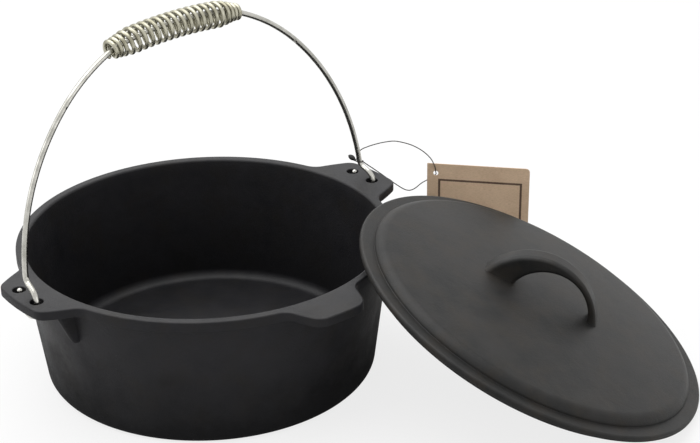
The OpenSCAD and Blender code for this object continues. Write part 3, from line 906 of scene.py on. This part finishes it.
def make_floor():
    corners = [(x * FLOOR_HALF, y * FLOOR_HALF, FLOOR_Z) for x, y in ((-1, -1), (1, -1), (1, 1), (-1, 1))]
    floor = thing("floor", mesh_of("floor", corners, [(0, 1, 2, 3)]))
    material, f, skin = new_finish("pale_floor")
    where = f.add("TexCoord").outputs["Object"]
    pale = f.tint(f.noise(where, 3, 2), (0.93, 0.93, 0.93, 1), (0.95, 0.95, 0.95, 1))
    feed(f, skin, Base_Color=pale, Roughness=1.0, Specular_IOR_Level=0.0)
    seen = f.add("LightPath")
    direct = f.sum("MAXIMUM", seen.outputs["Is Camera Ray"], seen.outputs["Is Transmission Ray"])
    mirrored = f.sum("MULTIPLY", seen.outputs["Is Glossy Ray"], FLOOR_IN_METAL)
    share = f.sum("MAXIMUM", f.sum("MULTIPLY", direct, FLOOR_SEEN), mirrored)
    white = f.add("Emission", {"Color": (1, 1, 1, 1), "Strength": 1.0})
    both = f.add("MixShader", {0: share, 1: skin.outputs[0], 2: white.outputs[0]})
    f.tree.links.new(both.outputs[0], f.tree.nodes["Material Output"].inputs[0])
    floor.data.materials.append(material)


def light_room():
    world = bpy.data.worlds.new("studio")
    world.use_nodes = True
    f = Finish(world.node_tree)
    seen = f.add("LightPath")
    rays = f.sum("MAXIMUM", f.sum("MAXIMUM", seen.outputs["Is Camera Ray"], seen.outputs["Is Glossy Ray"]),
                 seen.outputs["Is Transmission Ray"])
    sky = world.node_tree.nodes["Background"]
    sky.inputs["Color"].default_value = (1, 1, 1, 1)
    f.tree.links.new(f.span(rays, 0.0, 1.0, ROOM_LIGHT, 1.0), sky.inputs["Strength"])
    bpy.context.scene.world = world
    right = Vector((cosd(CAMERA_TURN), -sind(CAMERA_TURN), 0))
    away = Vector((sind(CAMERA_TURN), cosd(CAMERA_TURN), 0))
    up = Vector((0, 0, 1))
    lights = (
        ("overhead", right * -0.35 + away * 0.35 + up * 2.0, 2.6, 46),
        ("left", right * -2.2 + away * -0.6 + up * 1.2, 1.4, 9),
        ("right", right * 2.0 + away * -1.6 + up * 0.8, 1.4, 5),
    )
    for name, place, size, power in lights:
        lamp = bpy.data.lights.new(name, "AREA")
        lamp.size = size
        lamp.energy = power
        obj = bpy.data.objects.new(name, lamp)
        aim = LAMP_AIM - place
        obj.matrix_world = Matrix.Translation(place) @ aim.to_track_quat("-Z", "Y").to_matrix().to_4x4()
        bpy.context.scene.collection.objects.link(obj)
    bpy.context.scene.view_settings.view_transform = "Standard"


def dress(obj, material, slot, *nodes):
    obj.data.materials.clear()
    obj.data.materials.append(material)
    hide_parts(*nodes)


set_camera()

tie, tie_path = make_tie()
tag = make_tag()
leaf = make_leaf()
dress(tie, cord_finish(), "cord", "tag_tie")
dress(tag, card_finish(), "card", "hang_tag")
dress(leaf, leaf_finish(), "cord_end", "tie_end")
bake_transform(tie)
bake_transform(leaf)
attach(tag, "pot")
tie_length = float(np.linalg.norm(np.diff(tie_path, axis=0), axis=1).sum()) * MM

sand_cast = sand_cast_group()
drawn_wire = drawn_wire_group()

pot_body = make_pot()
pot_iron = iron_finish("pot_iron", sand_cast, dark=(0.0095, 0.0095, 0.0112), pale=(0.0165, 0.016, 0.018),
                       stain=(0.012, 0.0108, 0.01), rubbed_highlight=(0.035, 0.035, 0.037),
                       dull=0.52, shine=0.16, oil=0.32, painted_shade=0.04)
dress(pot_body, pot_iron, "pot_iron", "pot")
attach(pot_body, "pot")

lid_plate = make_lid()
lid_iron = iron_finish("lid_iron", sand_cast, dark=(0.0095, 0.01, 0.0098), pale=(0.018, 0.0168, 0.016),
                       stain=(0.021, 0.0175, 0.0135), rubbed_highlight=(0.044, 0.043, 0.042),
                       dull=0.5, shine=0.16, oil=0.24, painted_shade=-1.0)
dress(lid_plate, lid_iron, "lid_iron", "lid", "lid_handle")
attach(lid_plate, "lid")

bail_wire = make_bail()
plated = wire_finish("bail_wire", drawn_wire, bright=(0.55, 0.54, 0.5), stain=(0.37, 0.365, 0.33), dull=0.22)
dress(bail_wire, plated, "bail_wire", "bail")
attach(bail_wire, "bail")

coil = make_coil()
spring = wire_finish("coil_wire", drawn_wire, bright=(0.48, 0.465, 0.375), stain=(0.28, 0.265, 0.195),
                     dull=0.34)
dress(coil, spring, "coil_wire", "coil_grip")
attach(coil, "grip")

make_floor()
light_room()

bpy.context.view_layer.update()
